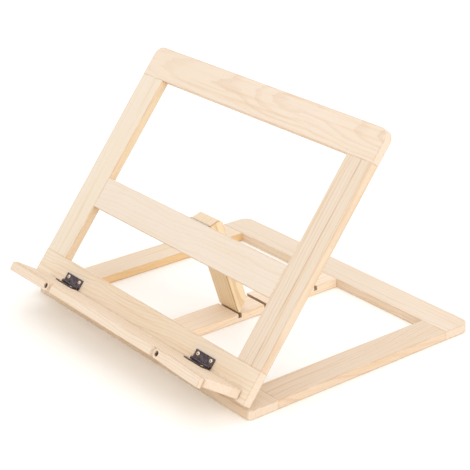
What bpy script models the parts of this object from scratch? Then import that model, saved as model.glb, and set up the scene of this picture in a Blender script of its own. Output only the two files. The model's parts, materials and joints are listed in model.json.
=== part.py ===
"""Folding wooden book stand: a flat base frame, an easel frame hinged to its front rail, a strut whose
foot drops into a slot of the base's centre rail, and a hinged ledge with two turning page holders.

The stand faces -Y, +X is its right-hand side and Z = 0 is the table. The origin is the middle of the
base frame's footprint. Everything is in metres and degrees.
"""

import math

import bmesh
import bpy
from mathutils import Matrix, Vector

# ---------------------------------------------------------------- driving dimensions: timber
STAND_WIDTH = 0.305
BASE_DEPTH = 0.240
SLAT_WIDTH = 0.029
SLAT_THICKNESS = 0.008
CORNER_RADIUS = 0.009
BASE_FRONT_RADIUS = 0.0035
EDGE_ROUND = 0.0007
GAP = 0.0003

EASEL_LENGTH = 0.238
EASEL_ANGLE = 52.0
EASEL_FOOT_RADIUS = 0.0015
CROSS_RAIL_FOOT = 0.081

SLOT_COUNT = 4
SLOT_PITCH = 0.0285
SLOT_FIRST = 0.100
SLOT_WIDTH = 0.0036
SLOT_DEPTH = 0.0042

STRUT_WIDTH = 0.027
STRUT_THICKNESS = 0.012
STRUT_ANGLE = 17.65
STRUT_TOP_RADIUS = 0.004
STRUT_TIP = 0.002
STRUT_TAPER = 0.009
STRUT_TOP_DROP = 0.0005
FOOT_CLEARANCE = 0.0006

LEDGE_LENGTH = 0.2765
LEDGE_DEPTH = 0.0438
LEDGE_SHIFT = 0.0065
LEDGE_LINE = 0.0096
LEDGE_OPENING = 94.0
LEDGE_BACK_GAP = 0.001
NOTCH_DEPTH = 0.0045
NOTCH_INNER_END = 0.073

HOLDER_PIVOT_X = 0.0804
HOLDER_REACH = 0.0557
HOLDER_HEIGHT = 0.0078
HOLDER_THICKNESS = 0.0042
HOLDER_END_RADIUS = 0.0012
HOLDER_DROOP = {"left": 0.6, "right": 2.2}

# ---------------------------------------------------------------- driving dimensions: hardware
AXIS_OFFSET = 0.0018
KNUCKLE_RADIUS = 0.0015
BORE_RADIUS = 0.0010
PIN_RADIUS = 0.0007
LEAF_WIDTH = 0.024
LEAF_REACH = 0.0081
LEAF_THICKNESS = 0.0008
KNUCKLES = 3
LEDGE_HINGE_X = (-0.097, 0.092)
BASE_HINGE_X = (-0.100, 0.100)
BASE_AXIS_INSET = 0.0017

SCREW_SPREAD = 0.00825
SCREW_REACH = 0.0051
SCREW_HEAD_RADIUS = 0.0018
SCREW_SHANK_RADIUS = 0.0009
SCREW_LENGTH = 0.0062
SCREW_PROUD = 0.0002
SCREW_POINT = 0.0015

PIVOT_HEAD_RADIUS = 0.0022
PIVOT_HEAD_HEIGHT = 0.0012
PIVOT_SHANK_RADIUS = 0.0014
PIVOT_SCREW_DEPTH = 0.012
COUNTERBORE_DEPTH = 0.0024

DOWEL_RADIUS = 0.002
DOWEL_LENGTH = 0.020

ROUND_SEGMENTS = 16
ARC_SEGMENTS = 5

# ---------------------------------------------------------------- sizes that follow
HALF_WIDTH = STAND_WIDTH / 2
BASE_FRONT = -BASE_DEPTH / 2
BASE_REAR = BASE_DEPTH / 2
HINGE_AXIS = Vector((0, BASE_FRONT + BASE_AXIS_INSET, SLAT_THICKNESS + AXIS_OFFSET))
CROSS_RAIL_TOP = CROSS_RAIL_FOOT + SLAT_WIDTH
EASEL_BACK = AXIS_OFFSET
EASEL_FRONT = AXIS_OFFSET + SLAT_THICKNESS
LEDGE_AXIS = Vector((0, LEDGE_LINE + AXIS_OFFSET, EASEL_FRONT + AXIS_OFFSET))
STRUT_AXIS = Vector((0, CROSS_RAIL_TOP, 0))
STRUT_SWING = 90 + STRUT_ANGLE - EASEL_ANGLE
LEAF_INNER = AXIS_OFFSET - GAP - LEAF_THICKNESS
HOLE_RADIUS = SCREW_SHANK_RADIUS + GAP

X_AXIS = Vector((1, 0, 0))
Y_AXIS = Vector((0, 1, 0))
Z_AXIS = Vector((0, 0, 1))


def strut_length():
    """Distance from the strut's hinge axis to its tip, with the tip just over the centre rail."""
    easel = math.radians(EASEL_ANGLE)
    lean = math.radians(STRUT_ANGLE)
    pivot_height = HINGE_AXIS.z + CROSS_RAIL_TOP * math.sin(easel)
    tip_height = SLAT_THICKNESS + FOOT_CLEARANCE
    return (pivot_height + AXIS_OFFSET * math.sin(lean) - tip_height) / math.cos(lean)


# ---------------------------------------------------------------- scene and materials
def empty_the_scene():
    for item in list(bpy.data.objects):
        bpy.data.objects.remove(item, do_unlink=True)


def new_collection(name):
    collection = bpy.data.collections.new(name)
    bpy.context.scene.collection.children.link(collection)
    return collection


def new_material(name, colour, roughness, metallic):
    material = bpy.data.materials.new(name)
    material.use_nodes = True
    shader = material.node_tree.nodes["Principled BSDF"]
    shader.inputs["Base Color"].default_value = (*colour, 1)
    shader.inputs["Roughness"].default_value = roughness
    shader.inputs["Metallic"].default_value = metallic
    return material


empty_the_scene()
PARTS = new_collection("book_display_stand")
CUTTERS = new_collection("cutters")
PINE = new_material("pine", (0.88, 0.72, 0.55), 0.60, 0.0)
BRONZE = new_material("antique_bronze", (0.05, 0.035, 0.022), 0.38, 0.9)
BRASS = new_material("brass", (0.42, 0.31, 0.16), 0.35, 1.0)
STEEL = new_material("dark_steel", (0.10, 0.09, 0.08), 0.45, 0.9)
PALE_STEEL = new_material("pale_steel", (0.50, 0.46, 0.41), 0.45, 0.9)
BEECH = new_material("beech", (0.72, 0.52, 0.34), 0.65, 0.0)


# ---------------------------------------------------------------- shapes
def place_part(name, mesh, material, frame=None, location=(0, 0, 0), turn=0.0):
    """A sub-part in the frame of an empty, or of the world; turn is about X, in radians."""
    item = bpy.data.objects.new(name, mesh)
    PARTS.objects.link(item)
    mesh.materials.clear()
    mesh.materials.append(material)
    item.parent = frame
    item.location = location
    item.rotation_euler = (turn, 0, 0)
    return item


def cutter(name, mesh, frame=None):
    item = bpy.data.objects.new(name, mesh)
    CUTTERS.objects.link(item)
    item.parent = frame
    item.display_type = "WIRE"
    item.hide_render = True
    return item


def mesh_from(name, work):
    bmesh.ops.recalc_face_normals(work, faces=work.faces)
    mesh = bpy.data.meshes.new(name)
    work.to_mesh(mesh)
    work.free()
    return mesh


def box_mesh(name, low, high):
    size = Vector(high) - Vector(low)
    middle = (Vector(high) + Vector(low)) / 2
    work = bmesh.new()
    bmesh.ops.create_cube(work, size=1, matrix=Matrix.Translation(middle) @ Matrix.Diagonal((*size, 1)))
    return mesh_from(name, work)


def rods_mesh(name, rods, segments=ROUND_SEGMENTS):
    """One mesh of round rods, each given by its two end points and the radius at each end."""
    work = bmesh.new()
    for start, end, start_radius, end_radius in rods:
        axis = Vector(end) - Vector(start)
        turn = Z_AXIS.rotation_difference(axis).to_matrix().to_4x4()
        place = Matrix.Translation((Vector(start) + Vector(end)) / 2) @ turn
        bmesh.ops.create_cone(work, cap_ends=True, segments=segments, radius1=start_radius,
                              radius2=end_radius, depth=axis.length, matrix=place)
    return mesh_from(name, work)


def filleted(corners):
    """Outline points of a convex shape whose corners (x, y, radius) are rounded with arcs."""
    points = []
    count = len(corners)
    for index, (x, y, radius) in enumerate(corners):
        corner = Vector((x, y))
        if radius == 0:
            points.append(corner)
            continue
        before = (Vector(corners[index - 1][:2]) - corner).normalized()
        after = (Vector(corners[(index + 1) % count][:2]) - corner).normalized()
        half_angle = before.angle(after) / 2
        centre = corner + (before + after).normalized() * radius / math.sin(half_angle)
        first = corner + before * radius / math.tan(half_angle) - centre
        last = corner + after * radius / math.tan(half_angle) - centre
        sweep = first.angle_signed(last)
        for step in range(ARC_SEGMENTS + 1):
            angle = -sweep * step / ARC_SEGMENTS
            points.append(centre + Matrix.Rotation(angle, 2) @ first)
    return points


def plate_mesh(name, corners, thickness, place=Matrix.Identity(4)):
    """A flat plate with the given outline, standing half its thickness to each side of the XY plane."""
    curve = bpy.data.curves.new(name + "_outline", "CURVE")
    curve.dimensions = "2D"
    curve.fill_mode = "BOTH"
    curve.extrude = thickness / 2
    points = filleted(corners)
    spline = curve.splines.new("POLY")
    spline.points.add(len(points) - 1)
    spline.use_cyclic_u = True
    for slot, point in zip(spline.points, points):
        slot.co = (point.x, point.y, 0, 1)
    outline = bpy.data.objects.new(name + "_outline", curve)
    CUTTERS.objects.link(outline)
    bpy.context.view_layer.update()
    evaluated = outline.evaluated_get(bpy.context.evaluated_depsgraph_get())
    mesh = bpy.data.meshes.new_from_object(evaluated)
    bpy.data.objects.remove(outline, do_unlink=True)
    work = bmesh.new()
    work.from_mesh(mesh)
    bmesh.ops.remove_doubles(work, verts=work.verts, dist=0.00001)
    bmesh.ops.transform(work, matrix=place, verts=work.verts)
    bpy.data.meshes.remove(mesh)
    return mesh_from(name, work)


def turned_part(name, profile, material, frame, location, turn, segments):
    """A turned piece: its profile lists (radius, height) pairs down its outer side, top to bottom."""
    outline = bpy.data.meshes.new(name)
    outline.from_pydata([(radius, 0, height) for radius, height in profile],
                        [(index, index + 1) for index in range(len(profile) - 1)], [])
    item = place_part(name, outline, material, frame, location, turn)
    screw = item.modifiers.new("turned", "SCREW")
    screw.steps = segments
    screw.render_steps = segments
    screw.use_merge_vertices = True
    screw.merge_threshold = 0.00001
    screw.use_smooth_shade = True
    return item


def soften_edges(item):
    """Round the long edges of a piece of timber, as sandpaper leaves them."""
    bevel = item.modifiers.new("sanded_edges", "BEVEL")
    bevel.width = EDGE_ROUND
    bevel.segments = 2
    bevel.limit_method = "ANGLE"
    bevel.angle_limit = math.radians(35)


def smooth(item):
    item.data.shade_smooth()
    item.data.set_sharp_from_angle(angle=math.radians(35))


def change(item, operation, tool):
    boolean = item.modifiers.new(tool.name, "BOOLEAN")
    boolean.operation = operation
    boolean.solver = "EXACT"
    boolean.object = tool


def cut(item, tool):
    change(item, "DIFFERENCE", tool)


def join(item, tool):
    change(item, "UNION", tool)


def pivot(name, location, angle=0.0, parent=None):
    """An empty on a joint's axis, turned about X."""
    empty = bpy.data.objects.new(name, None)
    PARTS.objects.link(empty)
    empty.empty_display_size = 0.02
    empty.location = location
    empty.rotation_euler = (math.radians(angle), 0, 0)
    empty.parent = parent
    return empty


# ---------------------------------------------------------------- hinges and screws
def leaf_spans(outer):
    """The X ranges of a leaf's own knuckles: the outer ones, or the middle one."""
    step = LEAF_WIDTH / KNUCKLES
    spans = []
    for index in range(KNUCKLES):
        if (index % 2 == 0) == outer:
            start = -LEAF_WIDTH / 2 + index * step
            left = start + (GAP / 2 if index > 0 else 0)
            right = start + step - (GAP / 2 if index < KNUCKLES - 1 else 0)
            spans.append((left, right))
    return spans


def leaf_box(name, left, right, near, far, reach_sign, wood_sign):
    """A box of the leaf's sheet, from near to far off the axis along reach_sign * Y."""
    y_ends = sorted((reach_sign * near, reach_sign * far))
    z_ends = sorted((wood_sign * LEAF_INNER, wood_sign * (LEAF_INNER + LEAF_THICKNESS)))
    return box_mesh(name, (left, y_ends[0], z_ends[0]), (right, y_ends[1], z_ends[1]))


def screw_offsets(reach_sign):
    return [Vector((side * SCREW_SPREAD, reach_sign * SCREW_REACH, 0)) for side in (-1, 1)]


def hinge_leaf(name, centre, reach_sign, wood_sign, outer, frame=None, finish=BRONZE):
    """One leaf of a butt hinge, with its two screws. The hinge's axis runs along X through centre; the
    leaf reaches out along reach_sign * Y and lies on the timber at wood_sign * Z."""
    holder = pivot(name + "_place", centre, 0, frame)
    sheet_start = KNUCKLE_RADIUS + GAP
    sheet = leaf_box(name, -LEAF_WIDTH / 2, LEAF_WIDTH / 2, sheet_start, LEAF_REACH, reach_sign, wood_sign)
    leaf = place_part(name, sheet, finish, holder)
    for index, (left, right) in enumerate(leaf_spans(outer)):
        tag = f"{name}_knuckle_{index}"
        neck = leaf_box(tag, left, right, 0, sheet_start + GAP, reach_sign, wood_sign)
        join(leaf, cutter(tag + "_neck", neck, holder))
        barrel = rods_mesh(tag, [(X_AXIS * left, X_AXIS * right, KNUCKLE_RADIUS, KNUCKLE_RADIUS)])
        join(leaf, cutter(tag, barrel, holder))
    reach = X_AXIS * LEAF_WIDTH
    cut(leaf, cutter(name + "_bore", rods_mesh(name, [(-reach, reach, BORE_RADIUS, BORE_RADIUS)]), holder))
    under = Z_AXIS * wood_sign * (AXIS_OFFSET - GAP / 2)
    over = Z_AXIS * wood_sign * (LEAF_INNER - GAP / 2)
    sinks = [(offset + under, offset + over, HOLE_RADIUS, SCREW_HEAD_RADIUS + GAP)
             for offset in screw_offsets(reach_sign)]
    cut(leaf, cutter(name + "_sinks", rods_mesh(name, sinks), holder))
    smooth(leaf)
    for index, offset in enumerate(screw_offsets(reach_sign)):
        face = centre + offset + Z_AXIS * wood_sign * AXIS_OFFSET
        hinge_screw(f"{name.removesuffix('_leaf')}_screw_{index + 1}", face, wood_sign, frame)


def hinge_screw(name, face, wood_sign, frame):
    """A countersunk wood screw whose head lies in a leaf; face is where its axis enters the timber."""
    rim = GAP + LEAF_THICKNESS
    profile = [(0, rim + SCREW_PROUD), (SCREW_HEAD_RADIUS * 0.6, rim + SCREW_PROUD * 0.8),
               (SCREW_HEAD_RADIUS, rim), (SCREW_SHANK_RADIUS, GAP),
               (SCREW_SHANK_RADIUS, SCREW_POINT - SCREW_LENGTH), (0, -SCREW_LENGTH)]
    turn = math.pi if wood_sign > 0 else 0
    turned_part(name, profile, BRASS, frame, face, turn, 12)


def hinge_pin(name, centre, frame=None, finish=STEEL):
    half = X_AXIS * LEAF_WIDTH / 2
    rod = rods_mesh(name, [(-half, half, PIN_RADIUS, PIN_RADIUS)], 12)
    pin = place_part(name, rod, finish, frame, centre)
    smooth(pin)


def pilot_rods(centre, reach_sign, wood_sign):
    """The holes drilled for a leaf's two screws, from just off the timber's face into it."""
    near = Z_AXIS * wood_sign * (AXIS_OFFSET - GAP)
    deep = Z_AXIS * wood_sign * (AXIS_OFFSET + SCREW_LENGTH + GAP)
    return [(centre + offset + near, centre + offset + deep, HOLE_RADIUS, HOLE_RADIUS)
            for offset in screw_offsets(reach_sign)]


def drill(item, name, rods, frame=None):
    cut(item, cutter(name, rods_mesh(name, rods, 12), frame))


# ---------------------------------------------------------------- timber frames
def slat(name, low, high, frame=None):
    item = place_part(name, box_mesh(name, low, high), PINE, frame)
    soften_edges(item)
    return item


def end_rail(name, outer, inner, radius, underside, frame=None):
    """A full-width rail from Y = outer to Y = inner whose two outer corners are rounded."""
    corners = [(-HALF_WIDTH, outer, radius), (HALF_WIDTH, outer, radius),
               (HALF_WIDTH, inner, 0), (-HALF_WIDTH, inner, 0)]
    lift = Matrix.Translation((0, 0, underside + SLAT_THICKNESS / 2))
    item = place_part(name, plate_mesh(name, corners, SLAT_THICKNESS, lift), PINE, frame)
    soften_edges(item)
    return item


def corner_dowel(name, centre, rails, frame=None):
    """A dowel along Y across a butt joint, and the hole for it in both pieces of timber."""
    half = Y_AXIS * DOWEL_LENGTH / 2
    mesh = rods_mesh(name, [(-half, half, DOWEL_RADIUS, DOWEL_RADIUS)], 12)
    smooth(place_part(name, mesh, BEECH, frame, centre))
    reach = half + Y_AXIS * GAP
    hole = rods_mesh(name, [(centre - reach, centre + reach, DOWEL_RADIUS + GAP, DOWEL_RADIUS + GAP)], 12)
    tool = cutter(name + "_hole", hole, frame)
    for rail in rails:
        cut(rail, tool)


def build_base():
    side_centre = HALF_WIDTH - SLAT_WIDTH / 2
    front_joint = BASE_FRONT + SLAT_WIDTH
    rear_joint = BASE_REAR - SLAT_WIDTH
    front = end_rail("base_front_rail", BASE_FRONT, front_joint, BASE_FRONT_RADIUS, 0)
    rear = end_rail("base_rear_rail", BASE_REAR, rear_joint, CORNER_RADIUS, 0)
    sides = {}
    for label, centre in (("left", -side_centre), ("centre", 0), ("right", side_centre)):
        low = (centre - SLAT_WIDTH / 2, front_joint + GAP, 0)
        high = (centre + SLAT_WIDTH / 2, rear_joint - GAP, SLAT_THICKNESS)
        sides[label] = slat(f"base_{label}_rail", low, high)

    for index in range(SLOT_COUNT):
        y = BASE_FRONT + SLOT_FIRST + index * SLOT_PITCH
        low = (-SLAT_WIDTH, y - SLOT_WIDTH / 2, SLAT_THICKNESS - SLOT_DEPTH)
        high = (SLAT_WIDTH, y + SLOT_WIDTH / 2, 2 * SLAT_THICKNESS)
        name = f"strut_slot_{index + 1}"
        cut(sides["centre"], cutter(name, box_mesh(name, low, high)))

    for label, centre in (("left", -side_centre), ("right", side_centre)):
        for end, y, rail in (("front", front_joint, front), ("rear", rear_joint, rear)):
            place = Vector((centre, y, SLAT_THICKNESS / 2))
            corner_dowel(f"base_{end}_{label}_dowel", place, (rail, sides[label]))

    for label, x in zip(("left", "right"), BASE_HINGE_X):
        centre = HINGE_AXIS + X_AXIS * x
        hinge_leaf(f"base_hinge_{label}_base_leaf", centre, 1, -1, True)
        hinge_pin(f"base_hinge_{label}_pin", centre)
        drill(front, f"base_{label}_pilot_holes", pilot_rods(centre, 1, -1))


def build_easel():
    """The easel in its own frame: Y up the slope from the hinge axis, Z out of the front face."""
    easel = pivot("easel_pivot", HINGE_AXIS, EASEL_ANGLE)
    stile_centre = HALF_WIDTH - SLAT_WIDTH / 2
    foot_joint = SLAT_WIDTH
    top_joint = EASEL_LENGTH - SLAT_WIDTH
    bottom = end_rail("easel_bottom_rail", 0, foot_joint, EASEL_FOOT_RADIUS, EASEL_BACK, easel)
    top = end_rail("easel_top_rail", EASEL_LENGTH, top_joint, CORNER_RADIUS, EASEL_BACK, easel)
    for label, centre in (("left", -stile_centre), ("right", stile_centre)):
        low = (centre - SLAT_WIDTH / 2, foot_joint + GAP, EASEL_BACK)
        high = (centre + SLAT_WIDTH / 2, top_joint - GAP, EASEL_FRONT)
        stile = slat(f"easel_{label}_stile", low, high, easel)
        for end, y, rail in (("bottom", foot_joint, bottom), ("top", top_joint, top)):
            place = Vector((centre, y, (EASEL_BACK + EASEL_FRONT) / 2))
            corner_dowel(f"easel_{end}_{label}_dowel", place, (rail, stile), easel)
    half_opening = HALF_WIDTH - SLAT_WIDTH - GAP
    cross = slat("easel_cross_rail", (-half_opening, CROSS_RAIL_FOOT, EASEL_BACK),
                 (half_opening, CROSS_RAIL_TOP, EASEL_FRONT), easel)

    for label, x in zip(("left", "right"), BASE_HINGE_X):
        centre = X_AXIS * x
        hinge_leaf(f"base_hinge_{label}_easel_leaf", centre, 1, 1, False, easel)
        drill(bottom, f"easel_{label}_back_pilot_holes", pilot_rods(centre, 1, 1), easel)
    for label, x in zip(("left", "right"), LEDGE_HINGE_X):
        centre = LEDGE_AXIS + X_AXIS * x
        hinge_leaf(f"ledge_hinge_{label}_rail_leaf", centre, 1, -1, True, easel)
        hinge_pin(f"ledge_hinge_{label}_pin", centre, easel)
        drill(bottom, f"easel_{label}_front_pilot_holes", pilot_rods(centre, 1, -1), easel)
    hinge_leaf("strut_hinge_rail_leaf", STRUT_AXIS, -1, 1, True, easel, PALE_STEEL)
    hinge_pin("strut_hinge_pin", STRUT_AXIS, easel, PALE_STEEL)
    drill(cross, "cross_rail_pilot_holes", pilot_rods(STRUT_AXIS, -1, 1), easel)
    return easel


def build_strut(easel):
    """The strut in its own frame: Y runs up it from the tip to the hinge axis, its body is at -Z."""
    frame = pivot("strut_pivot", STRUT_AXIS, STRUT_SWING, easel)
    length = strut_length()
    front = -AXIS_OFFSET
    rear = front - STRUT_THICKNESS
    corners = [(-STRUT_TOP_DROP, front, 0), (-STRUT_TOP_DROP, rear, STRUT_TOP_RADIUS),
               (-length + STRUT_TAPER, rear, 0), (-length, front - STRUT_TIP, 0), (-length, front, 0)]
    side_on = Matrix(((0, 0, 1, 0), (1, 0, 0, 0), (0, 1, 0, 0), (0, 0, 0, 1)))
    strut = place_part("strut", plate_mesh("strut", corners, STRUT_WIDTH, side_on), PINE, frame)
    soften_edges(strut)
    drill(strut, "strut_pilot_holes", pilot_rods(Vector(), -1, -1), frame)
    hinge_leaf("strut_hinge_strut_leaf", Vector(), -1, -1, False, frame, PALE_STEEL)


def build_ledge(easel):
    """The ledge in its own frame: Y runs out from the hinge axis to the front edge, Z points down."""
    frame = pivot("ledge_pivot", LEDGE_AXIS + X_AXIS * LEDGE_SHIFT, LEDGE_OPENING, easel)
    back = LEDGE_BACK_GAP - AXIS_OFFSET
    front = LEDGE_DEPTH - AXIS_OFFSET
    top = AXIS_OFFSET
    under = AXIS_OFFSET + SLAT_THICKNESS
    middle = (top + under) / 2
    notch_floor = front - NOTCH_DEPTH
    half = LEDGE_LENGTH / 2
    board = slat("ledge_board", (-half, back, top), (half, front, under), frame)
    hole_radius = PIVOT_SHANK_RADIUS + GAP
    for label, side in (("left", -1), ("right", 1)):
        x_ends = sorted((side * NOTCH_INNER_END, side * 2 * half))
        name = f"{label}_holder_notch"
        notch = box_mesh(name, (x_ends[0], notch_floor, 0), (x_ends[1], 2 * front, 2 * under))
        cut(board, cutter(name, notch, frame))
        mouth = Vector((side * HOLDER_PIVOT_X, notch_floor, middle))
        rod = (mouth + Y_AXIS * GAP, mouth - Y_AXIS * (PIVOT_SCREW_DEPTH + GAP), hole_radius, hole_radius)
        drill(board, f"{label}_holder_pilot_hole", [rod], frame)
        build_page_holder(frame, label, side, front, middle)
    for label, x in zip(("left", "right"), LEDGE_HINGE_X):
        centre = X_AXIS * (x - LEDGE_SHIFT)
        hinge_leaf(f"ledge_hinge_{label}_ledge_leaf", centre, 1, 1, False, frame)
        drill(board, f"ledge_{label}_pilot_holes", pilot_rods(centre, 1, 1), frame)


def build_page_holder(ledge, label, side, front, middle):
    """A page holder and its screw, in a frame on the screw's axis, Y pointing out of the ledge."""
    name = f"{label}_page_holder"
    frame = pivot(name + "_pivot", (side * HOLDER_PIVOT_X, front, middle), 0, ledge)
    half_height = HOLDER_HEIGHT / 2
    round_end = half_height - GAP
    corners = [(-half_height, -half_height, round_end), (HOLDER_REACH, -half_height, HOLDER_END_RADIUS),
               (HOLDER_REACH, half_height, HOLDER_END_RADIUS), (-half_height, half_height, round_end)]
    stand_up = Matrix.Rotation(math.pi / 2, 4, "X")
    droop = Matrix.Rotation(math.radians(-side * HOLDER_DROOP[label]), 4, "Y")
    sunk = Matrix.Translation((0, -HOLDER_THICKNESS / 2, 0))
    place = droop @ sunk @ Matrix.Diagonal((side, 1, 1, 1)) @ stand_up
    holder = place_part(name, plate_mesh(name, corners, HOLDER_THICKNESS, place), PINE, frame)
    soften_edges(holder)
    shank_hole = PIVOT_SHANK_RADIUS + GAP
    head_hole = PIVOT_HEAD_RADIUS + GAP
    drill(holder, name + "_shank_hole", [(Y_AXIS * GAP, -Y_AXIS * 2 * HOLDER_THICKNESS,
                                          shank_hole, shank_hole)], frame)
    drill(holder, name + "_counterbore", [(Y_AXIS * GAP, -Y_AXIS * COUNTERBORE_DEPTH,
                                           head_hole, head_hole)], frame)

    seat = GAP - COUNTERBORE_DEPTH
    tip = -NOTCH_DEPTH - PIVOT_SCREW_DEPTH
    profile = [(0, seat + PIVOT_HEAD_HEIGHT), (PIVOT_HEAD_RADIUS * 0.7, seat + PIVOT_HEAD_HEIGHT * 0.9),
               (PIVOT_HEAD_RADIUS, seat + PIVOT_HEAD_HEIGHT * 0.4), (PIVOT_HEAD_RADIUS, seat),
               (PIVOT_SHANK_RADIUS, seat), (PIVOT_SHANK_RADIUS, tip + 2 * SCREW_POINT), (0, tip)]
    turned_part(name + "_screw", profile, STEEL, frame, (0, 0, 0), -math.pi / 2, 12)


build_base()
easel_frame = build_easel()
build_strut(easel_frame)
build_ledge(easel_frame)
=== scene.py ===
"""Looks of the folding wooden book stand: smooth-edged pine slats with their own growth rings, dark
hinges worn to brass, a pale steel strut hinge, cross-recess screws, a pale floor, soft light and
the camera.

Lengths are in metres in the CAD frame, angles in degrees. Wood is coloured in millimetres of the
slat's own grain frame, where X runs along the grain and Z through the slat's thickness.
"""

import json
import math
import random

import bmesh
import bpy
from mathutils import Matrix, Vector

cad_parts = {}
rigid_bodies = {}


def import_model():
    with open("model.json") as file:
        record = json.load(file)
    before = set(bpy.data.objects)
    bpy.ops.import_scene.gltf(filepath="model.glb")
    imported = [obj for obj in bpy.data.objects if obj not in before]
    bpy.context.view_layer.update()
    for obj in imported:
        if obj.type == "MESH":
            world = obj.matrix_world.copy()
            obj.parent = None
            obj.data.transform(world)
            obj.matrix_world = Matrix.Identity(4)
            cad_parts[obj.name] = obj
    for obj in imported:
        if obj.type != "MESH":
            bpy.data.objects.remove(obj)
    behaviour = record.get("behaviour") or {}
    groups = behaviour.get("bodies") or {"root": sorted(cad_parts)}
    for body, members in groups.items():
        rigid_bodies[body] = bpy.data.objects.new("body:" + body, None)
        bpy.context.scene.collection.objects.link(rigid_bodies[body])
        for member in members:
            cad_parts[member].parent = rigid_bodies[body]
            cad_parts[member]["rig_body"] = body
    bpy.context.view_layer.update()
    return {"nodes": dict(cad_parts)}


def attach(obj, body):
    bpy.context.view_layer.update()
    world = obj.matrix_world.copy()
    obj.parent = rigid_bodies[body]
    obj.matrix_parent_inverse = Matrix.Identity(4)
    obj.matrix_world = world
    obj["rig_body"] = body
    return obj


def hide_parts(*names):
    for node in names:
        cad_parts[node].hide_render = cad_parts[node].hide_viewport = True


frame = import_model()

# ---------------------------------------------------------------- the stand's own angles
EASEL_ANGLE = 52.0
STRUT_ANGLE = 107.65
LEDGE_ANGLE = 146.0

# ---------------------------------------------------------------- the screws
SCREW_SEGMENTS = 40
SCREW_POINT = 0.0015
LEAF_SCREW = dict(head_radius=0.0018, head_depth=0.0015, shank_radius=0.0009, length=0.0062,
                  countersunk=True)
HOLDER_SCREW = dict(head_radius=0.0022, head_depth=0.0012, shank_radius=0.0014, length=0.0176,
                    countersunk=False)
# Points across a head's dome: radius as a part of the head's radius, height as a part of its depth.
HEAD_DOME = [(0.0, 0.0), (0.45, -0.02), (0.72, -0.08), (0.90, -0.17), (1.0, -0.30)]
# The cross recess is cut by a tapered cross that starts above the head. Its lengths are parts of the
# head's radius. The spreads scale its outline at the top and at the floor.
RECESS_DEPTH = 0.42
RECESS_HALF_WIDTH = 0.13
RECESS_REACH = 0.56
RECESS_TOP = 0.3
RECESS_TOP_SPREAD = 1.12
RECESS_FLOOR_SPREAD = 0.55
# A head's rim and underside and the neck below it, as parts of the head's depth.
COUNTERSUNK_RIM = 0.42
ROUND_HEAD_UNDERSIDE = 1.02
NECK_END = 1.4
# The thread's pitch and root, and the shoulder of the point, as parts of the shank's radius.
THREAD_PITCH = 0.75
THREAD_ROOT = 0.78
POINT_SHOULDER = 0.9
SPIN_SEED = 12
# A CAD screw's crown is the points this close to its top. Its axis is refined in a few passes.
CROWN_TOLERANCE = 1e-5
AXIS_PASSES = 3

# ---------------------------------------------------------------- edges and shading
LEAF_BEVEL = 0.00012
BEVEL_ANGLE = 40
WOOD_SHARP_ANGLE = 40
METAL_SHARP_ANGLE = 35
SCREW_SHARP_ANGLE = 32
# Vertices this close are joined, and faces this near to one plane become one face.
WELD_DISTANCE = 2e-6
FLAT_ANGLE = 0.5
WORN_REACH = 0.00022
# The rounded normal dotted with the true one: over the first on a flat face, under the second on an arris.
WORN_FROM, WORN_FULL = 0.995, 0.90

# ---------------------------------------------------------------- camera and light
CAMERA_PLACE = Vector((0.96356, -0.75740, 0.59545))
CAMERA_AZIMUTH = 51.471
CAMERA_ELEVATION = 21.241
CAMERA_ROLL = -0.574
CAMERA_LENS = 118.46
CAMERA_SHIFT = (-0.0437, -0.1099)
CAMERA_SENSOR = 36
CAMERA_CLIP = (0.05, 30)
ROOM_COLOUR = (1.0, 0.995, 0.985, 1.0)
ROOM_STRENGTH = 0.97
FLOOR_HALF_SIDE = 6.0
FLOOR_DROP = 0.0002
FLOOR_GLOW = 0.06
# Each lamp: its place, the height over the origin that it faces, its diameter, power and tint.
LAMPS = {
    "key": ((1.5, -0.85, 1.7), 0.08, 1.7, 10, (1.0, 0.985, 0.965)),
    "top": ((-0.3, -0.1, 2.3), 0.08, 1.8, 6, (1.0, 0.99, 0.975)),
    "side": ((2.2, 0.2, 0.7), 0.06, 1.0, 6, (1.0, 0.98, 0.95)),
}


# ---------------------------------------------------------------- node helpers
TO_MILLIMETRES = 1000.0
NOISE_MIDDLE = (0.5, 0.5, 0.5)
# The sockets of a Mix node that blend colours, by number: sockets of one name differ only in type.
MIX_FACTOR, MIX_FIRST, MIX_SECOND, MIX_RESULT = 0, 6, 7, 2


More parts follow.
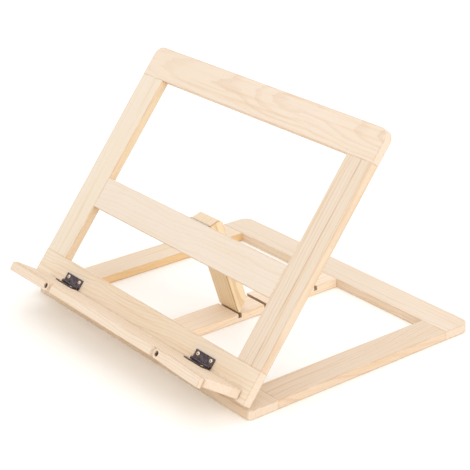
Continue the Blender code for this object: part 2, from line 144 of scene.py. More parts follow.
class Nodes:
    """Makes and links shader nodes of one tree with short calls."""

    def __init__(self, tree):
        self.tree = tree

    def add(self, kind, **settings):
        node = self.tree.nodes.new(kind)
        for key, value in settings.items():
            setattr(node, key, value)
        return node

    def feed(self, socket, value):
        if isinstance(value, bpy.types.NodeSocket):
            self.tree.links.new(value, socket)
        else:
            socket.default_value = value

    def math(self, operation, first, second=0.0, third=0.0):
        node = self.add("ShaderNodeMath", operation=operation)
        for socket, value in zip(node.inputs, (first, second, third)):
            self.feed(socket, value)
        return node.outputs[0]

    def vector(self, operation, first, second=(0, 0, 0), scale=None):
        node = self.add("ShaderNodeVectorMath", operation=operation)
        self.feed(node.inputs[0], first)
        if scale is None:
            self.feed(node.inputs[1], second)
        else:
            self.feed(node.inputs["Scale"], scale)
        scalar = operation in {"LENGTH", "DOT_PRODUCT"}
        return node.outputs["Value" if scalar else "Vector"]

    def split(self, vector):
        node = self.add("ShaderNodeSeparateXYZ")
        self.feed(node.inputs[0], vector)
        return node.outputs

    def join(self, x, y, z):
        node = self.add("ShaderNodeCombineXYZ")
        for socket, value in zip(node.inputs, (x, y, z)):
            self.feed(socket, value)
        return node.outputs[0]

    def noise(self, vector, scale=1.0, detail=2.0, roughness=0.5, colour=False):
        node = self.add("ShaderNodeTexNoise", noise_dimensions="3D")
        self.feed(node.inputs["Vector"], vector)
        node.inputs["Scale"].default_value = scale
        node.inputs["Detail"].default_value = detail
        node.inputs["Roughness"].default_value = roughness
        return node.outputs["Color" if colour else "Fac"]

    def step(self, value, low, high):
        """A smooth rise from 0 at low to 1 at high; low may be the larger of the two."""
        node = self.add("ShaderNodeMapRange", interpolation_type="SMOOTHSTEP")
        for socket, given in zip(node.inputs, (value, low, high)):
            self.feed(socket, given)
        return node.outputs[0]

    def mix(self, factor, first, second, blend="MIX"):
        node = self.add("ShaderNodeMix", data_type="RGBA", blend_type=blend, clamp_factor=True)
        self.feed(node.inputs[MIX_FACTOR], factor)
        self.feed(node.inputs[MIX_FIRST], first)
        self.feed(node.inputs[MIX_SECOND], second)
        return node.outputs[MIX_RESULT]

    def millimetres(self):
        """The object's own coordinates, in millimetres."""
        return self.vector("SCALE", self.add("ShaderNodeTexCoord").outputs["Object"], scale=TO_MILLIMETRES)

    def bump(self, height, distance, strength):
        node = self.add("ShaderNodeBump")
        node.inputs["Strength"].default_value = strength
        node.inputs["Distance"].default_value = distance
        self.feed(node.inputs["Height"], height)
        return node.outputs["Normal"]


def colour(red, green, blue):
    """A linear colour from 8-bit sRGB values."""
    def linear(value):
        value /= 255
        return value / 12.92 if value <= 0.04045 else ((value + 0.055) / 1.055) ** 2.4
    return (linear(red), linear(green), linear(blue), 1.0)


def make_group(name, inputs, outputs):
    """An empty node group, its helper, and its input sockets by name."""
    group = bpy.data.node_groups.new(name, "ShaderNodeTree")
    for socket_name, kind in inputs:
        group.interface.new_socket(socket_name, in_out="INPUT", socket_type=kind)
    for socket_name, kind in outputs:
        group.interface.new_socket(socket_name, in_out="OUTPUT", socket_type=kind)
    nodes = Nodes(group)
    sockets = nodes.add("NodeGroupInput").outputs
    return group, nodes, sockets


def close_group(nodes, values):
    end = nodes.add("NodeGroupOutput")
    for name, value in values.items():
        nodes.feed(end.inputs[name], value)


def new_material(name):
    material = bpy.data.materials.new(name)
    material.use_nodes = True
    nodes = Nodes(material.node_tree)
    shader = material.node_tree.nodes["Principled BSDF"]
    return material, nodes, shader


# ---------------------------------------------------------------- wood
WOOD_INPUTS = [("Half size", "NodeSocketVector"), ("Pith", "NodeSocketVector"),
               ("Lean", "NodeSocketVector"), ("Ring width", "NodeSocketFloat"),
               ("Contrast", "NodeSocketFloat"), ("Seed", "NodeSocketFloat"),
               ("Knot", "NodeSocketVector"), ("Knot radius", "NodeSocketFloat"),
               ("Streak", "NodeSocketVector"), ("Bounced light warmth", "NodeSocketFloat"),
               ("Recess shade", "NodeSocketFloat"), ("Tint", "NodeSocketColor")]
WOOD_OUTPUTS = [("Color", "NodeSocketColor"), ("Roughness", "NodeSocketFloat"),
                ("Normal", "NodeSocketVector")]

SEED_SPACING = 137.0
EARLY_PALE = colour(233, 218, 203)
EARLY_DEEP = colour(229, 212, 191)
EARLY_STREAK = colour(226, 203, 175)
LATE_WOOD = colour(200, 156, 112)
FIBRE = colour(203, 160, 112)
RESIN_DUCT = colour(150, 96, 52)
KNOT_HEART = colour(146, 92, 52)
END_GRAIN = colour(226, 205, 184)
MINERAL_STREAK = colour(176, 122, 76)
ARRIS_WEAR_AND_SHADE = colour(206, 170, 130)
# The colour of the painted shade in a slat's cuts.
RECESS_SHADE = colour(124, 82, 48)
# The colour of the painted bounced light on one side of each slat.
BOUNCED_LIGHT_COLOUR = colour(250, 226, 182)


def growth_rings(n, given, place, seeded):
    """How far each point is into its ring's dark late wood, how close to a knot's heart, and the ripple."""
    # The rings wander along the slat, as a tree's do.
    slow = n.noise(n.vector("MULTIPLY", seeded, (0.011, 0.028, 0.028)), detail=1.5, colour=True)
    wander = n.vector("SCALE", n.vector("SUBTRACT", slow, NOISE_MIDDLE), scale=12.0)
    fine = n.noise(n.vector("MULTIPLY", seeded, (0.05, 0.25, 0.25)), detail=2.0, colour=True)
    ripple = n.vector("SCALE", n.vector("SUBTRACT", fine, NOISE_MIDDLE), scale=1.5)
    lean = n.vector("SCALE", given["Lean"], scale=n.split(place)[0])
    from_pith = n.vector("SUBTRACT", n.vector("SUBTRACT", place, given["Pith"]), lean)
    bent = n.vector("ADD", n.vector("ADD", from_pith, wander), ripple)
    across = n.vector("MULTIPLY", bent, (0.0, 1.0, 1.0))

    # A knot pushes the rings aside and has a dark heart.
    knot_offset = n.vector("MULTIPLY", n.vector("SUBTRACT", place, given["Knot"]), (0.55, 1.0, 0.4))
    knot_distance = n.math("DIVIDE", n.vector("LENGTH", knot_offset),
                           n.math("MAXIMUM", given["Knot radius"], 0.001))
    push = n.math("MULTIPLY", n.step(knot_distance, 4.5, 0.5), 3.2)
    heart = n.step(knot_distance, 1.15, 0.55)

    rings = n.math("ADD", n.math("DIVIDE", n.vector("LENGTH", across), given["Ring width"]), push)
    phase = n.math("FRACT", rings)
    late = n.math("MULTIPLY", n.step(phase, 0.42, 0.90), n.step(phase, 1.0, 0.93))
    number = n.add("ShaderNodeTexWhiteNoise", noise_dimensions="1D")
    n.feed(number.inputs["W"], n.math("FLOOR", rings))
    strength = n.math("MULTIPLY_ADD", number.outputs["Value"], 0.75, 0.25)
    return n.math("MULTIPLY", late, strength), heart, ripple


def mineral_streak(n, given, place, ripple, cloud):
    """A dark streak that runs along some slats: Streak is its place across, its reach and its strength."""
    streak_place, streak_reach, streak_strength = n.split(given["Streak"])
    wavering = n.math("ADD", n.split(place)[1], n.math("MULTIPLY", n.split(ripple)[1], 0.6))
    from_streak = n.math("ABSOLUTE", n.math("SUBTRACT", wavering, streak_place))
    streak = n.math("MULTIPLY", n.step(from_streak, streak_reach, 0.0), streak_strength)
    return n.math("MULTIPLY", streak, n.step(cloud, 0.25, 0.55))


def arris_and_recess(n, given, place, seeded):
    """An arris mask of handling wear and painted shade, and whether each point lies inside the slat's
    outline.
    """
    gap = n.vector("SUBTRACT", given["Half size"], n.vector("ABSOLUTE", place))
    gap_x, gap_y, gap_z = n.split(gap)
    low, high = n.math("MINIMUM", gap_x, gap_y), n.math("MAXIMUM", gap_x, gap_y)
    edge_gap = n.math("MAXIMUM", low, n.math("MINIMUM", high, gap_z))
    wear = n.noise(n.vector("MULTIPLY", seeded, (0.07, 0.3, 0.3)), detail=3.0)
    arris_wear_and_shade = n.math("MULTIPLY", n.step(edge_gap, 1.1, 0.2), n.step(wear, 0.25, 0.60))
    return arris_wear_and_shade, n.step(n.math("MINIMUM", low, gap_z), 0.2, 1.0)


def wood_group():
    """Sawn pine: rings round a pith line, fibres, resin ducts, a knot, end grain, handled edges with
    painted shade, painted shade in cuts and painted bounced light on one side.
    """
    group, n, given = make_group("sawn_pine", WOOD_INPUTS, WOOD_OUTPUTS)
    place = n.millimetres()
    seed_shift = n.join(n.math("MULTIPLY", given["Seed"], SEED_SPACING), 0.0, 0.0)
    seeded = n.vector("ADD", place, seed_shift)
    late, heart, ripple = growth_rings(n, given, place, seeded)

    fibres = n.noise(n.vector("MULTIPLY", seeded, (0.07, 3.2, 3.2)), detail=3.0, roughness=0.65)
    streaks = n.noise(n.vector("MULTIPLY", seeded, (0.008, 0.30, 0.30)), detail=2.0)
    cloud = n.noise(n.vector("MULTIPLY", seeded, (0.012, 0.030, 0.030)), detail=2.0)
    ducts = n.noise(n.vector("MULTIPLY", seeded, (0.22, 4.5, 4.5)), detail=1.0)
    ducts = n.math("MULTIPLY", n.step(ducts, 0.66, 0.74), n.step(late, 0.05, 0.35))

    # Only the side that faces -Y in the grain frame is given the warmer tone. It is painted bounced light:
    # the golden glow that light bounced between the slats gives their inner faces. It is there to match
    # golden inner faces in the photograph, which may be light bounced between slats and not the wood's
    # colour.
    facing = n.split(n.add("ShaderNodeTexCoord").outputs["Normal"])
    end_grain = n.step(n.math("ABSOLUTE", facing[0]), 0.75, 0.95)
    side = n.math("MULTIPLY", n.step(facing[1], -0.70, -0.95), given["Bounced light warmth"])

    early_colour = n.mix(cloud, EARLY_PALE, EARLY_DEEP)
    streaking = n.math("MINIMUM", n.math("MULTIPLY", given["Contrast"], 3.5), 1.0)
    streaking = n.math("MULTIPLY", n.step(streaks, 0.50, 0.72), streaking)
    early_colour = n.mix(streaking, early_colour, EARLY_STREAK)
    late_amount = n.math("MULTIPLY", late, given["Contrast"])
    tone = n.mix(late_amount, early_colour, LATE_WOOD)
    fibre_amount = n.math("MULTIPLY", n.math("ABSOLUTE", n.math("SUBTRACT", fibres, 0.5)), 0.55)
    tone = n.mix(fibre_amount, tone, FIBRE)
    tone = n.mix(n.math("MULTIPLY", ducts, 0.32), tone, RESIN_DUCT)
    tone = n.mix(n.math("MULTIPLY", heart, 0.75), tone, KNOT_HEART)
    tone = n.mix(n.math("MULTIPLY", end_grain, 0.50), tone, END_GRAIN)

    tone = n.mix(mineral_streak(n, given, place, ripple, cloud), tone, MINERAL_STREAK)

    # The arrises are darkened a little, unevenly: partly wear from handling, partly painted shade along
    # them.
    # Handling also polishes them. Cuts are painted dark, as painted shade: their walls lie inside the
    # slat's outline. A rounded corner does too, so this painted shade is given only to a slat that has
    # none.
    arris_wear_and_shade, inside = arris_and_recess(n, given, place, seeded)
    tone = n.mix(n.math("MULTIPLY", arris_wear_and_shade, 0.50), tone, ARRIS_WEAR_AND_SHADE)
    # Painted shade in the cuts: points inside the slat's outline are darkened.
    tone = n.mix(n.math("MULTIPLY", inside, given["Recess shade"]), tone, RECESS_SHADE)
    # Painted bounced light: the slat's -Y side is multiplied by a warm colour.
    tone = n.mix(side, tone, BOUNCED_LIGHT_COLOUR, blend="MULTIPLY")
    # The tint is partly the slat's own colour and partly painted light and shade; end grain takes less of
    # it.
    tone = n.mix(n.math("MULTIPLY_ADD", end_grain, -0.7, 1.0), tone, given["Tint"], blend="MULTIPLY")

    rough = n.math("MULTIPLY_ADD", fibres, 0.16, 0.50)
    rough = n.math("ADD", rough, n.math("MULTIPLY", end_grain, 0.18))
    rough = n.math("SUBTRACT", rough, n.math("MULTIPLY", arris_wear_and_shade, 0.10))
    rough = n.math("SUBTRACT", rough, n.math("MULTIPLY", late, 0.08))

    pores = n.noise(n.vector("MULTIPLY", seeded, (1.8, 7.0, 7.0)), detail=2.0)
    height = n.math("ADD", n.math("MULTIPLY", fibres, 0.6), n.math("MULTIPLY", late, 0.45))
    height = n.math("ADD", height, n.math("MULTIPLY", n.math("MULTIPLY", pores, end_grain), 0.8))
    height = n.math("SUBTRACT", height, n.math("MULTIPLY", ducts, 0.4))
    close_group(n, {"Color": tone, "Roughness": rough, "Normal": n.bump(height, 0.00012, 0.75)})
    return group


def wood_material(name, group, values):
    """A wood material of its own, from the shared group and this piece's values."""
    material, n, shader = new_material(name)
    node = n.add("ShaderNodeGroup", node_tree=group)
    for key, value in values.items():
        node.inputs[key].default_value = value
    n.feed(shader.inputs["Base Color"], node.outputs["Color"])
    n.feed(shader.inputs["Roughness"], node.outputs["Roughness"])
    n.feed(shader.inputs["Normal"], node.outputs["Normal"])
    shader.inputs["Specular IOR Level"].default_value = 0.35
    return material


# ---------------------------------------------------------------- metal
def worn_edges(n):
    """1 on a metal piece's arrises, 0 on its flat faces."""
    soft = n.add("ShaderNodeBevel", samples=6)
    soft.inputs["Radius"].default_value = WORN_REACH
    true_normal = n.add("ShaderNodeNewGeometry").outputs["Normal"]
    same = n.vector("DOT_PRODUCT", soft.outputs[0], true_normal)
    return n.step(same, WORN_FROM, WORN_FULL)


def plated_material(name, base, blush, worn, roughness, wear):
    """Hinge metal: a blotchy tone, fine scratches, and another colour where its edges have worn."""
    material, n, shader = new_material(name)
    place = n.millimetres()
    blotch = n.noise(place, scale=0.35, detail=3.0)
    grit = n.noise(place, scale=6.0, detail=3.0, roughness=0.7)
    scratch = n.noise(n.vector("MULTIPLY", place, (0.6, 9.0, 9.0)), detail=2.0)
    edges = n.math("MULTIPLY", worn_edges(n), n.step(grit, 0.40, 0.60))
    rubbed = n.math("MAXIMUM", n.math("MULTIPLY", edges, wear),
                    n.math("MULTIPLY", n.step(scratch, 0.68, 0.76), wear * 0.4))
    tone = n.mix(n.step(blotch, 0.35, 0.68), base, blush)
    tone = n.mix(rubbed, tone, worn)
    rough = n.math("MULTIPLY_ADD", grit, 0.22, roughness)
    height = n.math("ADD", n.math("MULTIPLY", grit, 0.6), n.math("MULTIPLY", scratch, 0.4))
    n.feed(shader.inputs["Base Color"], tone)
    n.feed(shader.inputs["Roughness"], rough)
    n.feed(shader.inputs["Normal"], n.bump(height, 0.00003, 0.5))
    shader.inputs["Metallic"].default_value = 0.9
    return material


def screw_material(name, bright, darkening, roughness):
    """A plated screw, darker in its cross recess and at the foot of its head; its head is at Z = 0."""
    material, n, shader = new_material(name)
    place = n.millimetres()
    x, y, z = n.split(place)
    grit = n.noise(place, scale=3.0, detail=3.0, roughness=0.7)
    radius = n.vector("LENGTH", n.join(x, y, 0.0))
    turned = n.noise(n.join(radius, 0.0, n.math("MULTIPLY", z, 0.2)), scale=9.0, detail=1.0)
    deep = n.math("MULTIPLY", n.step(z, -0.10, -0.30), n.step(radius, 1.30, 1.10))
    darkened = n.math("MAXIMUM", deep, n.math("MULTIPLY", n.step(grit, 0.58, 0.70), 0.35))
    tone = n.mix(darkened, bright, darkening)
    rough = n.math("ADD", n.math("MULTIPLY_ADD", grit, 0.20, roughness), n.math("MULTIPLY", deep, 0.3))
    n.feed(shader.inputs["Base Color"], tone)
    n.feed(shader.inputs["Roughness"], rough)
    n.feed(shader.inputs["Normal"], n.bump(n.math("ADD", turned, grit), 0.00002, 0.4))
    shader.inputs["Metallic"].default_value = 0.85
    return material


def floor_material():
    """A pale, matt, faintly mottled studio floor that glows a little, which softens the shadows on it."""
    material, n, shader = new_material("studio_floor")
    place = n.add("ShaderNodeTexCoord").outputs["Object"]
    mottle = n.noise(place, scale=6.0, detail=4.0)
    grain = n.noise(place, scale=900.0, detail=2.0)
    n.feed(shader.inputs["Base Color"], n.mix(mottle, colour(247, 246, 244), colour(250, 250, 249)))
    n.feed(shader.inputs["Roughness"], n.math("MULTIPLY_ADD", grain, 0.1, 0.75))
    shader.inputs["Specular IOR Level"].default_value = 0.1
    shader.inputs["Emission Color"].default_value = (1.0, 1.0, 1.0, 1.0)
    shader.inputs["Emission Strength"].default_value = FLOOR_GLOW
    return material


# ---------------------------------------------------------------- meshes
def clean_copy(node, place, name):
    """A piece with a node's shape: its vertices joined, flat faces whole, in the frame given by place."""
    mesh = node.data.copy()
    mesh.name = name
    mesh.materials.clear()
    work = bmesh.new()
    work.from_mesh(mesh)
    bmesh.ops.remove_doubles(work, verts=work.verts, dist=WELD_DISTANCE)
    bmesh.ops.dissolve_limit(work, angle_limit=math.radians(FLAT_ANGLE), verts=work.verts,
                             edges=work.edges)
    bmesh.ops.recalc_face_normals(work, faces=work.faces)
    work.to_mesh(mesh)
    work.free()
    mesh.transform(place.inverted())
    piece = bpy.data.objects.new(name, mesh)
    bpy.context.scene.collection.objects.link(piece)
    piece.matrix_world = place
    return piece


def shade(piece, angle):
    """Smooth shading that keeps edges sharper than angle, and keeps flat faces looking flat."""
    mesh = piece.data
    mesh.polygons.foreach_set("use_smooth", [True] * len(mesh.polygons))
    mesh.set_sharp_from_angle(angle=math.radians(angle))
    weighted = piece.modifiers.new("weighted_normals", "WEIGHTED_NORMAL")
    weighted.keep_sharp = True


def add_bevel(piece, width, angle):
    bevel = piece.modifiers.new("arris", "BEVEL")
    bevel.width = width
    bevel.segments = 2
    bevel.limit_method = "ANGLE"
    bevel.angle_limit = math.radians(angle)
    bevel.use_clamp_overlap = True


def take_place_of(piece, node_name):
    """The piece rides on the node's body and hides the node."""
    node = frame["nodes"][node_name]
    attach(piece, node["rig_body"])
    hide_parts(node_name)


def turned_mesh(name, profile):
    """A closed turned body about Z, from (radius, height) pairs that start and end on the axis."""
    work = bmesh.new()
    rings = []
    for radius, height in profile:
        count = 1 if radius == 0 else SCREW_SEGMENTS
        ring = []
        for index in range(count):
            angle = 2 * math.pi * index / SCREW_SEGMENTS
            ring.append(work.verts.new((radius * math.cos(angle), radius * math.sin(angle), height)))
        rings.append(ring)
    for upper, lower in zip(rings, rings[1:]):
        for index in range(SCREW_SEGMENTS):
            following = (index + 1) % SCREW_SEGMENTS
            corners = [upper[index % len(upper)], lower[index % len(lower)],
                       lower[following % len(lower)], upper[following % len(upper)]]
            work.faces.new(list(dict.fromkeys(corners)))
    bmesh.ops.recalc_face_normals(work, faces=work.faces)
    mesh = bpy.data.meshes.new(name)
    work.to_mesh(mesh)
    work.free()
    return mesh


def cross_recess_mesh(head_radius):
    """The tapered cross that a driver's tip leaves, to be cut out of a head whose top is at Z = 0."""
    levels = ((RECESS_TOP, RECESS_TOP_SPREAD), (-RECESS_DEPTH, RECESS_FLOOR_SPREAD))
    arm, waist = RECESS_REACH, RECESS_HALF_WIDTH
    corner_pattern = [(arm, -waist), (arm, waist), (waist, waist)]
    work = bmesh.new()
    loops = []
    for height, spread in levels:
        loop = []
        for quarter in range(4):
            turn = Matrix.Rotation(quarter * math.pi / 2, 4, "Z")
            for x, y in corner_pattern:
                corner = Vector((x * spread, y * spread, height)) * head_radius
                loop.append(work.verts.new(turn @ corner))
        loops.append(loop)
    work.faces.new(loops[0])
    work.faces.new(loops[1])
    for index in range(len(loops[0])):
        following = (index + 1) % len(loops[0])
        work.faces.new((loops[0][index], loops[0][following], loops[1][following], loops[1][index]))
    bmesh.ops.recalc_face_normals(work, faces=work.faces)
    mesh = bpy.data.meshes.new("cross_recess")
    work.to_mesh(mesh)
    work.free()
    return mesh


def screw_mesh(name, head_radius, head_depth, shank_radius, length, countersunk):
    """A whole screw with its head's top at Z = 0: domed head, cross recess, shank, thread and point."""
    profile = [(head_radius * r, head_depth * z) for r, z in HEAD_DOME]
    if countersunk:
        profile.append((head_radius, -head_depth * COUNTERSUNK_RIM))
    else:
        profile.append((head_radius, -head_depth))
    profile.append((shank_radius, -head_depth * (1.0 if countersunk else ROUND_HEAD_UNDERSIDE)))
    thread_pitch = shank_radius * THREAD_PITCH
    height = -head_depth * NECK_END
    while height - thread_pitch > SCREW_POINT - length:
        profile += [(shank_radius, height), (shank_radius * THREAD_ROOT, height - thread_pitch / 2)]
        height -= thread_pitch
    profile += [(shank_radius * POINT_SHOULDER, SCREW_POINT - length), (0.0, -length)]
    body = bpy.data.objects.new(name, turned_mesh(name, profile))
    cutter = bpy.data.objects.new(name + "_recess", cross_recess_mesh(head_radius))
    for item in (body, cutter):
        bpy.context.scene.collection.objects.link(item)
    cut = body.modifiers.new("recess", "BOOLEAN")
    cut.operation = "DIFFERENCE"
    cut.solver = "EXACT"
    cut.object = cutter
    bpy.context.view_layer.update()
    finished = bpy.data.meshes.new_from_object(body.evaluated_get(bpy.context.evaluated_depsgraph_get()))
    finished.polygons.foreach_set("use_smooth", [True] * len(finished.polygons))
    finished.set_sharp_from_angle(angle=math.radians(SCREW_SHARP_ANGLE))
    for item in (body, cutter):
        mesh = item.data
        bpy.data.objects.remove(item)
        bpy.data.meshes.remove(mesh)
    return finished


def screw_axis(node):
    """The point on top of a CAD screw's head, and the direction that its head faces."""
    points = [vertex.co.copy() for vertex in node.data.vertices]
    middle = sum(points, Vector()) / len(points)
    tip = max(points, key=lambda point: (point - middle).length)
    along = (middle - tip).normalized()
    for _ in range(AXIS_PASSES):
        reach = [(point - tip).dot(along) for point in points]
        far = max(reach)
        crown = [point for point, distance in zip(points, reach) if distance > far - CROWN_TOLERANCE]
        along = (sum(crown, Vector()) / len(crown) - tip).normalized()
    return tip + along * far, along


# ---------------------------------------------------------------- timber pieces
# Each slat: its tilt about X, which way its grain runs, and how its wood was cut. Pith and lean are
# in the slat's grain frame: millimetres to the tree's middle, and millimetres of drift per millimetre.
# The tints are partly each slat's own colour and partly painted light and shade, which the lamps here don't
# give. Side is how warm a slat's -Y side is painted, as painted bounced light. One more key gives how dark
# a slat's cuts are painted, as painted shade.
TIMBER = {
    "base_front_rail": dict(tilt=0, grain="X", pith=(0, 62, -18), lean=(0, 0.03, 0), ring=2.3,
                            contrast=0.30, tint=(1.0, 0.985, 0.965)),
    "base_rear_rail": dict(tilt=0, grain="X", pith=(0, -40, -34), lean=(0, -0.02, 0.03), ring=2.6,
                           contrast=0.24, tint=(1.0, 1.0, 1.0)),
    "base_left_rail": dict(tilt=0, grain="Y", pith=(0, 55, -26), lean=(0, 0.03, 0), ring=2.2,
                           contrast=0.26, tint=(1.04, 1.03, 1.0), side=0.9),
    "base_centre_rail": dict(tilt=0, grain="Y", pith=(0, -36, -30), lean=(0, 0.05, 0), ring=2.4,
                             contrast=0.26, tint=(1.12, 1.12, 1.11), darkening=0.55),
    "base_right_rail": dict(tilt=0, grain="Y", pith=(0, 30, -22), lean=(0, 0.10, 0), ring=2.5,
                            contrast=0.28, tint=(0.95, 0.92, 0.89)),
    "easel_top_rail": dict(tilt=EASEL_ANGLE, grain="X", pith=(0, 4, -21), lean=(0, 0.045, 0.055), ring=2.6,
                           contrast=0.24, tint=(1.0, 0.99, 0.985)),
    "easel_bottom_rail": dict(tilt=EASEL_ANGLE, grain="X", pith=(0, -44, -25), lean=(0, 0.06, 0), ring=2.5,
                              contrast=0.28, tint=(1.0, 1.0, 0.96), knot=(122, -5, 0), knot_radius=1.2),
    "easel_left_stile": dict(tilt=EASEL_ANGLE, grain="Y", pith=(0, 48, -20), lean=(0, 0.03, 0), ring=2.4,
                             contrast=0.24, tint=(1.0, 1.03, 1.03), side=0.5),
    "easel_right_stile": dict(tilt=EASEL_ANGLE, grain="Y", pith=(0, -70, -8), lean=(0, 0.01, 0), ring=3.0,
                              contrast=0.32, tint=(0.95, 0.94, 0.92), streak=(-2.5, 0.9, 0.55)),
    "easel_cross_rail": dict(tilt=EASEL_ANGLE, grain="X", pith=(0, 34, -26), lean=(0, 0.04, 0), ring=2.8,
                             contrast=0.08, tint=(0.98, 1.0, 1.02)),
    "strut": dict(tilt=STRUT_ANGLE, grain="Y", pith=(0, 46, 12), lean=(0, 0.01, 0), ring=3.4,
                  contrast=0.46, tint=(1.10, 1.05, 0.86), streak=(-12.4, 1.1, 0.9), side=0.0),
    "ledge_board": dict(tilt=LEDGE_ANGLE, grain="X", pith=(0, 30, 32), lean=(0, 0.03, 0), ring=2.5,
                        contrast=0.28, tint=(1.0, 0.985, 0.960)),
    "left_page_holder": dict(tilt=LEDGE_ANGLE, grain="X", pith=(0, 12, 20), lean=(0, 0, 0.02), ring=1.9,
                             contrast=0.28, tint=(1.0, 0.970, 0.935)),
    "right_page_holder": dict(tilt=LEDGE_ANGLE, grain="X", pith=(0, 14, -18), lean=(0, 0, 0.03), ring=2.0,
                              contrast=0.28, tint=(1.0, 0.975, 0.945)),
}

# The pieces that butt between two rails, and how far each end is drawn out to close its joint.
BUTTED = {"base_left_rail", "base_centre_rail", "base_right_rail", "easel_left_stile",
          "easel_right_stile", "easel_cross_rail"}
JOINT_CLOSING = 0.0006

NO_KNOT = (0, 0, 0)
NO_STREAK = (0, 1, 0)
# For the slats that name no warmth of their own for the painted bounced light on their -Y side.
BOUNCED_LIGHT_WARMTH = 0.25


def grain_frame(node, tilt, grain):
    """A frame in the middle of a slat whose X runs along the grain."""
    turn = Matrix.Rotation(math.radians(tilt), 4, "X")
    if grain == "Y":
        turn = turn @ Matrix.Rotation(math.pi / 2, 4, "Z")
    back = turn.inverted()
    points = [back @ vertex.co for vertex in node.data.vertices]
    middle = Vector([(min(p[axis] for p in points) + max(p[axis] for p in points)) / 2
                     for axis in range(3)])
    return turn @ Matrix.Translation(middle)


def build_timber(group):
    for seed, (name, look) in enumerate(TIMBER.items()):
        node = frame["nodes"][name]
        place = grain_frame(node, look["tilt"], look["grain"])
        piece = clean_copy(node, place, name + "_wood")
        if name in BUTTED:
            length = piece.dimensions.x
            piece.data.transform(Matrix.Diagonal((1 + 2 * JOINT_CLOSING / length, 1, 1, 1)))
        half_size = [side * TO_MILLIMETRES / 2 for side in piece.dimensions]
        values = {"Half size": half_size, "Pith": look["pith"], "Lean": look["lean"],
                  "Ring width": look["ring"], "Contrast": look["contrast"], "Seed": seed + 1.0,
                  "Knot": look.get("knot", NO_KNOT), "Knot radius": look.get("knot_radius", 0.0),
                  "Streak": look.get("streak", NO_STREAK), "Bounced light warmth": look.get("side", BOUNCED_LIGHT_WARMTH),
                  "Recess shade": look.get("darkening", 0.0), "Tint": (*look["tint"], 1.0)}
        piece.data.materials.append(wood_material(name + "_pine", group, values))
        shade(piece, WOOD_SHARP_ANGLE)
        take_place_of(piece, name)


def build_dowels(group):
    """The dowels keep their CAD shape. They are hidden inside their glued joints."""
    values = {"Half size": (10, 10, 10), "Pith": (0, 9, 14), "Lean": (0, 0, 0), "Ring width": 1.4,
              "Contrast": 0.35, "Seed": 40.0, "Knot": NO_KNOT, "Knot radius": 0.0,
              "Streak": NO_STREAK, "Bounced light warmth": 0.0, "Recess shade": 0.0,
              "Tint": (0.93, 0.86, 0.78, 1.0)}
    beech = wood_material("dowel_beech", group, values)
    for name, node in frame["nodes"].items():
        if name.endswith("_dowel"):
            node.data.materials.clear()
            node.data.materials.append(beech)


# ---------------------------------------------------------------- hardware
LEAF_TILT = {"base_leaf": 0, "easel_leaf": EASEL_ANGLE, "rail_leaf": EASEL_ANGLE,
             "ledge_leaf": LEDGE_ANGLE, "strut_leaf": STRUT_ANGLE}


def build_hinges():
    plating = plated_material("dark_bronze", colour(78, 68, 72), colour(108, 98, 106),
                              colour(196, 160, 98), 0.26, 0.8)
    steel = plated_material("pin_steel", colour(48, 44, 42), colour(60, 56, 54),
                            colour(150, 140, 124), 0.34, 0.6)
    bare = plated_material("pale_steel", colour(190, 178, 164), colour(206, 196, 184),
                           colour(226, 218, 206), 0.40, 0.5)
    for name in list(frame["nodes"]):
        kind = next((ending for ending in LEAF_TILT if name.endswith(ending)), None)
        if kind is None and not name.endswith("_pin"):
            continue
        tilt = LEAF_TILT[kind] if kind else 0
        node = frame["nodes"][name]
        piece = clean_copy(node, grain_frame(node, tilt, "X"), name + "_metal")
        add_bevel(piece, LEAF_BEVEL, BEVEL_ANGLE)
        shade(piece, METAL_SHARP_ANGLE)
        if name.startswith("strut_hinge"):
            finish, slot = bare, "pale_steel"
        elif kind:
            finish, slot = plating, "antique_bronze"
        else:
            finish, slot = steel, "dark_steel"
        piece.data.materials.append(finish)
        take_place_of(piece, name)


def build_screws():
    draw = random.Random(SPIN_SEED)
    brass = screw_material("screw_brass", colour(240, 228, 200), colour(72, 56, 42), 0.24)
    dark = screw_material("screw_dark", colour(112, 92, 76), colour(40, 28, 22), 0.36)
    leaf_screw = screw_mesh("leaf_screw", **LEAF_SCREW)
    leaf_screw.materials.append(brass)
    holder_screw = screw_mesh("holder_screw", **HOLDER_SCREW)
    holder_screw.materials.append(dark)
    for name in list(frame["nodes"]):
        if "_screw" not in name:
            continue
        in_leaf = "hinge" in name
        top, outward = screw_axis(frame["nodes"][name])
        piece = bpy.data.objects.new(name + "_detailed", leaf_screw if in_leaf else holder_screw)
        bpy.context.scene.collection.objects.link(piece)
        spin = Matrix.Rotation(draw.uniform(0, math.pi / 2), 4, "Z")
        facing = outward.to_track_quat("Z", "Y").to_matrix().to_4x4()
        piece.matrix_world = Matrix.Translation(top) @ facing @ spin
        take_place_of(piece, name)


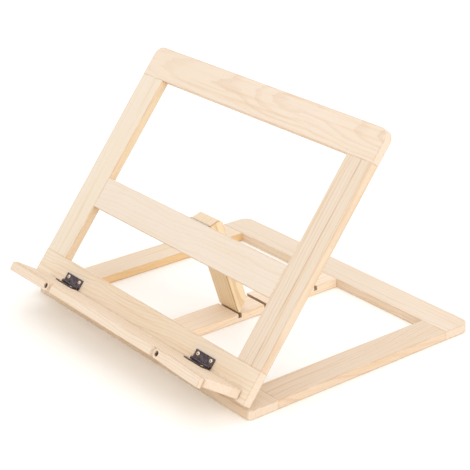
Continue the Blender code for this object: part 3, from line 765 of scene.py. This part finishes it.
# ---------------------------------------------------------------- stage
def build_floor():
    mesh = bpy.data.meshes.new("floor")
    side = FLOOR_HALF_SIDE
    corners = [(-side, -side, 0), (side, -side, 0), (side, side, 0), (-side, side, 0)]
    mesh.from_pydata(corners, [], [(0, 1, 2, 3)])
    floor = bpy.data.objects.new("floor", mesh)
    bpy.context.scene.collection.objects.link(floor)
    floor.location.z = -FLOOR_DROP
    mesh.materials.append(floor_material())


def area_light(name, place, target, size, power, tint):
    light = bpy.data.lights.new(name, "AREA")
    light.shape = "DISK"
    light.size = size
    light.energy = power
    light.color = tint
    lamp = bpy.data.objects.new(name, light)
    bpy.context.scene.collection.objects.link(lamp)
    lamp.location = place
    lamp.rotation_euler = (Vector(target) - Vector(place)).to_track_quat("-Z", "Y").to_euler()


def build_light():
    bpy.context.scene.view_settings.view_transform = "Standard"
    world = bpy.data.worlds.new("soft_room")
    world.use_nodes = True
    background = world.node_tree.nodes["Background"]
    background.inputs["Color"].default_value = ROOM_COLOUR
    background.inputs["Strength"].default_value = ROOM_STRENGTH
    bpy.context.scene.world = world
    for name, (place, target_height, size, power, tint) in LAMPS.items():
        area_light(name, place, (0, 0, target_height), size, power, tint)


def build_camera():
    azimuth, elevation = math.radians(CAMERA_AZIMUTH), math.radians(CAMERA_ELEVATION)
    forward = Vector((-math.sin(azimuth) * math.cos(elevation), math.cos(azimuth) * math.cos(elevation),
                      -math.sin(elevation)))
    level = Vector((math.cos(azimuth), math.sin(azimuth), 0))
    roll = math.radians(CAMERA_ROLL)
    upward = level.cross(forward)
    right = level * math.cos(roll) + upward * math.sin(roll)
    up = right.cross(forward)
    turn = Matrix((right, up, -forward)).transposed().to_4x4()
    lens = bpy.data.cameras.new("camera")
    lens.sensor_width = CAMERA_SENSOR
    lens.lens = CAMERA_LENS
    lens.shift_x, lens.shift_y = CAMERA_SHIFT
    lens.clip_start, lens.clip_end = CAMERA_CLIP
    camera = bpy.data.objects.new("camera", lens)
    bpy.context.scene.collection.objects.link(camera)
    camera.matrix_world = Matrix.Translation(CAMERA_PLACE) @ turn
    bpy.context.scene.camera = camera


pine = wood_group()
build_timber(pine)
build_dowels(pine)
build_hinges()
build_screws()
build_floor()
build_light()
build_camera()

bpy.context.view_layer.update()
